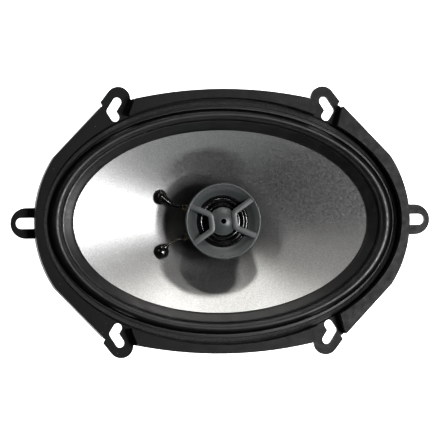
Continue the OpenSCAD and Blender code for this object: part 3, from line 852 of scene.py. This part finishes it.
n = 20
rs = [10.05 + 3.15 * i / n for i in range(n + 1)]
hump = [0.75 * math.sin(math.pi * i / n) for i in range(n + 1)]
prof = [(r, 0.85 + 0.25 + h) for r, h in zip(rs, hump)]
wt = [1 - smooth((r - 10.05) / 3.15) for r in rs]
prof += [(13.5, 1.05), (14.9, 1.05), (15.0, 0.95), (15.0, 0.7), (13.5, 0.68)]
wt += [0, 0, 0, 0, 0]
prof += [(r, 0.85 + h) for r, h in zip(reversed(rs), reversed(hump))]
wt += [1 - smooth((r - 10.05) / 3.15) for r in reversed(rs)]
v, f = lathe(prof, 128)
troll = make_object("tweeter_edge_roll", v, f, M_FILM, sharp=55)
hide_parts("tweeter_surround")
blend_by(troll)


# ------------------------------------------------------------- beads and leads
def blob(name, parts, mat, voxel=0.22, seed=3, rough=0.18, body="cone_assembly", node=None):
    """Ellipsoids and tapers melted into one lump of cement."""
    bm = bmesh.new()
    for kind, mat4, args in parts:
        if kind == "ball":
            bmesh.ops.create_icosphere(bm, subdivisions=3, radius=1.0, matrix=mat4)
        else:
            bmesh.ops.create_cone(bm, cap_ends=True, segments=24, radius1=args[0], radius2=args[1], depth=args[2],
                                  matrix=mat4)
    me = bpy.data.meshes.new(name)
    bm.to_mesh(me)
    bm.free()
    ob = bpy.data.objects.new(name, me)
    scene.collection.objects.link(ob)
    r = ob.modifiers.new("r", "REMESH")
    r.mode = "VOXEL"
    r.voxel_size = voxel
    s = ob.modifiers.new("s", "SMOOTH")
    s.iterations = 6
    s.factor = 0.6
    apply_modifiers(ob)
    rnd = random.Random(seed)
    waves = [(Vector((rnd.uniform(-1, 1), rnd.uniform(-1, 1), rnd.uniform(-1, 1))).normalized() * rnd.uniform(0.7, 2.0),
              rnd.uniform(0, 6.28)) for _ in range(7)]
    me = ob.data
    normals = [v.normal.copy() for v in me.vertices]
    for v, nrm in zip(me.vertices, normals):
        h = sum(math.sin(v.co.dot(k) + p) for k, p in waves) / 7
        v.co += nrm * h * rough
    for v in me.vertices:
        x, y = v.co.x, v.co.y
        floor = cone_z(x, y) + 0.06
        if v.co.z < floor:
            v.co.z = floor
    for v in me.vertices:
        v.co *= MM
    me.polygons.foreach_set("use_smooth", [True] * len(me.polygons))
    me.materials.clear()
    me.materials.append(mat)
    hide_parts(node)
    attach(ob, body)
    return ob


def ell(c, s, rot=0.0):
    return Matrix.Translation(c) @ Matrix.Rotation(math.radians(rot), 4, "Z") @ Matrix.Diagonal((*s, 1))


def cone_between(a, b):
    a, b = Vector(a), Vector(b)
    d = b - a
    return Matrix.Translation((a + b) / 2) @ d.to_track_quat("Z", "Y").to_matrix().to_4x4(), d.length


m1, len1 = cone_between((-30.4, 13.0, -14.4), (-24.9, 9.6, -13.7))
blob("bead_upper", [("ball", ell((-31.7, 14.0, -14.8), (3.6, 4.3, 3.1), 0), None),
                    ("cone", m1, (2.7, 1.35, len1)),
                    ("ball", ell((-31.0, 15.7, -15.1), (2.4, 2.3, 2.0), 0), None)],
     M_CEMENT, seed=5, node="lead_bead_upper")
m2, len2 = cone_between((-30.4, -14.0, -13.9), (-27.6, -12.0, -13.7))
blob("bead_lower", [("ball", ell((-31.5, -16.0, -14.9), (4.3, 4.2, 3.3), 0), None),
                    ("ball", ell((-29.8, -13.5, -14.1), (2.4, 2.0, 1.7), 20), None),
                    ("cone", m2, (1.7, 0.9, len2))],
     M_CEMENT, seed=11, node="lead_bead_lower")


def lead(name, node, ctrl, radius, mat, n=48, k=14, lobes=0, depth=0.0, twist=0.0, extra=()):
    vs, fs, sh = [], [], []
    for c in (ctrl, *extra):
        path = [tuple(bez(c, i / (n - 1))) for i in range(n)]
        v, f, s = tube(path, radius, k, twist, lobes, depth)
        o = len(vs)
        vs += v
        fs += [tuple(i + o for i in q) for q in f]
        sh += s
    ob = make_object(name, vs, fs, mat, sharp=80)
    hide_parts(node)
    blend_by(ob)
    return ob


lead("lead_back_positive", "tinsel_lead_positive",
     [(-47.2, 10.6, -20.1), (-44.5, 11, -17.2), (-39, 13, -25), (-33, 14.4, -18.2)], 0.75, M_TINSEL,
     lobes=5, depth=0.09, twist=0.35)
lead("lead_back_negative", "tinsel_lead_negative",
     [(-47.2, -10.6, -20.1), (-44.5, -11.2, -17.2), (-39, -14, -25), (-32.8, -15.6, -18.2)], 0.75, M_TINSEL,
     lobes=5, depth=0.09, twist=0.35)
lead("lead_front_upper", "tweeter_lead_upper",
     [(-25.0, 9.6, -13.7), (-23.2, 8.6, -13.3), (-22.2, 8.4, -10.4), (-21, 8.5, -7.35)],
     lambda t: 0.95 - 0.3 * t, M_LEADSLEEVE)
lead("lead_front_lower", "tweeter_lead_lower",
     [(-27.8, -12.1, -13.8), (-24.8, -9.9, -13.8), (-22.6, -8.6, -10.8), (-21.4, -8.9, -7.35)],
     0.55, M_TINSEL, lobes=4, depth=0.12, twist=0.5)

# ------------------------------------------------------ motor and other pieces
refine("top_plate", M_STEEL, bevel=0.25, segs=2, sharp=28)
refine("magnet", M_FERRITE, bevel=0.4, segs=2, sharp=40)
refine("yoke", M_STEEL, bevel=0.35, segs=2, sharp=28)
refine("stake_rivets", M_STEEL, bevel=0.15, segs=2, sharp=35)
refine("tweeter_post", M_BLACK, bevel=0.3, segs=2, sharp=35)
refine("terminal_board", M_BOARD, bevel=0.12, segs=2)
refine("terminal_positive", M_BRASS, bevel=0.12, segs=2)
refine("terminal_negative", M_BRASS, bevel=0.12, segs=2)
refine("terminal_rivets", M_BRASS, bevel=0.1, segs=2)
refine("tweeter_lugs", M_BRASS, bevel=0.08, segs=2)
refine("centre_bolt", M_SCREW, bevel=0.12, segs=2)
refine("bolt_washer", M_SCREW, bevel=0.1, segs=2)
for node, mat in (("coil_former", M_FORMER), ("coil_winding", M_COPPER), ("tweeter_cup", M_STEEL),
                  ("tweeter_magnet", M_NICKEL), ("tweeter_pole_plate", M_STEEL), ("tweeter_mount_ring", M_BLACK),
                  ("tweeter_coil", M_COPPER), ("tweeter_capacitor", M_SLEEVE), ("capacitor_wires", M_BRASS)):
    repaint(node, mat)


# ----------------------------------------------------------------------- stage
def floor_mat():
    m = Mat("pale_floor", (0.86, 0.86, 0.86), 0.9)
    m.color(m.ramp(m.noise(60, 3), [(0.3, (0.84, 0.84, 0.84)), (0.7, (0.87, 0.87, 0.87))]))
    m.b.inputs["Emission Color"].default_value = (1, 1, 1, 1)
    m.b.inputs["Emission Strength"].default_value = 0.96
    return m.m


rest_z = cad_lo.z
pale = floor_mat()
floor = make_object("floor", [(-15000, -15000, 0), (15000, -15000, 0), (15000, 15000, 0), (-15000, 15000, 0)],
                    [(0, 1, 2, 3)], pale)
floor.location.z = rest_z
v, f = lathe([(10000, -100), (10000, 2600)], 96, closed=False)
backdrop = make_object("backdrop", v, f, pale)


def area(name, pos, target, size, power, size_y=None, color=(1, 1, 1)):
    d = bpy.data.lights.new(name, "AREA")
    d.shape = "RECTANGLE" if size_y else "DISK"
    d.size = size
    if size_y:
        d.size_y = size_y
    d.energy = power
    d.color = color
    o = bpy.data.objects.new(name, d)
    o.location = pos
    o.rotation_mode = "QUATERNION"
    o.rotation_quaternion = (Vector(target) - Vector(pos)).to_track_quat("-Z", "Y")
    scene.collection.objects.link(o)
    return o


def sky(name, off, az, size, power, dist=1.0, size_y=None, tint=(1, 1, 1)):
    """A light at an angle from the sound axis, turned towards the middle; size_y runs round the axis."""
    o, z = math.radians(off), math.radians(az)
    back = Vector((math.sin(o) * math.cos(z), math.sin(o) * math.sin(z), math.cos(o)))
    side = Vector((-math.sin(z), math.cos(z), 0))
    lamp = area(name, tuple(back * dist), (0, 0, 0), size, power, size_y, tint)
    lamp.rotation_quaternion = Matrix((side.cross(back), side, back)).transposed().to_quaternion()
    return lamp


sky("key_right", 30, 347, 0.10, 3.5, size_y=0.34)
sky("key_top", 52, 90, 0.10, 0.80, tint=(1, 0.985, 0.94))
sky("key_upper_right", 57, 68, 0.14, 1.15, tint=(1, 0.985, 0.95))
sky("near_right", 20, 2, 0.10, 1.3, dist=0.83)
sky("rim_top", 76, 90, 0.30, 0.4)
sky("fill_upper_left", 42, 142, 0.12, 0.36, size_y=0.2, tint=(1, 0.99, 0.95))
sky("fill_lower", 54, 287, 0.16, 0.22, size_y=0.3, tint=(0.92, 1, 0.98))
sky("fill_left", 42, 215, 0.16, 0.035, size_y=0.4, tint=(0.92, 1, 0.98))

world = bpy.data.worlds.new("studio")
scene.world = world
world.use_nodes = True
world.node_tree.nodes["Background"].inputs["Color"].default_value = (1, 1, 1, 1)
world.node_tree.nodes["Background"].inputs["Strength"].default_value = 0.004
scene.view_settings.view_transform = "Standard"
scene.view_settings.look = "High Contrast"
scene.view_settings.exposure = 0.0

# ---------------------------------------------------------------------- camera
AZ, EL, ROLL = math.radians(-8.05), math.radians(-0.89), math.radians(0.747)
FPX, DIST = 2308.0, 1.25
back = Vector((math.sin(AZ), math.sin(EL), 0))
back.z = math.sqrt(1 - back.length_squared)
zc = back
xc = Vector((0, 1, 0)).cross(zc).normalized()
yc = zc.cross(xc)
rot = Matrix((xc, yc, zc)).transposed() @ Matrix.Rotation(-ROLL, 3, "Z")
cam_data = bpy.data.cameras.new("camera")
cam = bpy.data.objects.new("camera", cam_data)
scene.collection.objects.link(cam)
cam.matrix_world = Matrix.Translation(back * DIST) @ rot.to_4x4()
cam_data.sensor_fit = "AUTO"
cam_data.sensor_width = 36
cam_data.lens = FPX * 36 / 445
cam_data.shift_x = -(221.81 - 220.0) / 445
cam_data.shift_y = -(222.5 - 221.41) / 445
cam_data.clip_start, cam_data.clip_end = 0.05, 20
scene.camera = cam
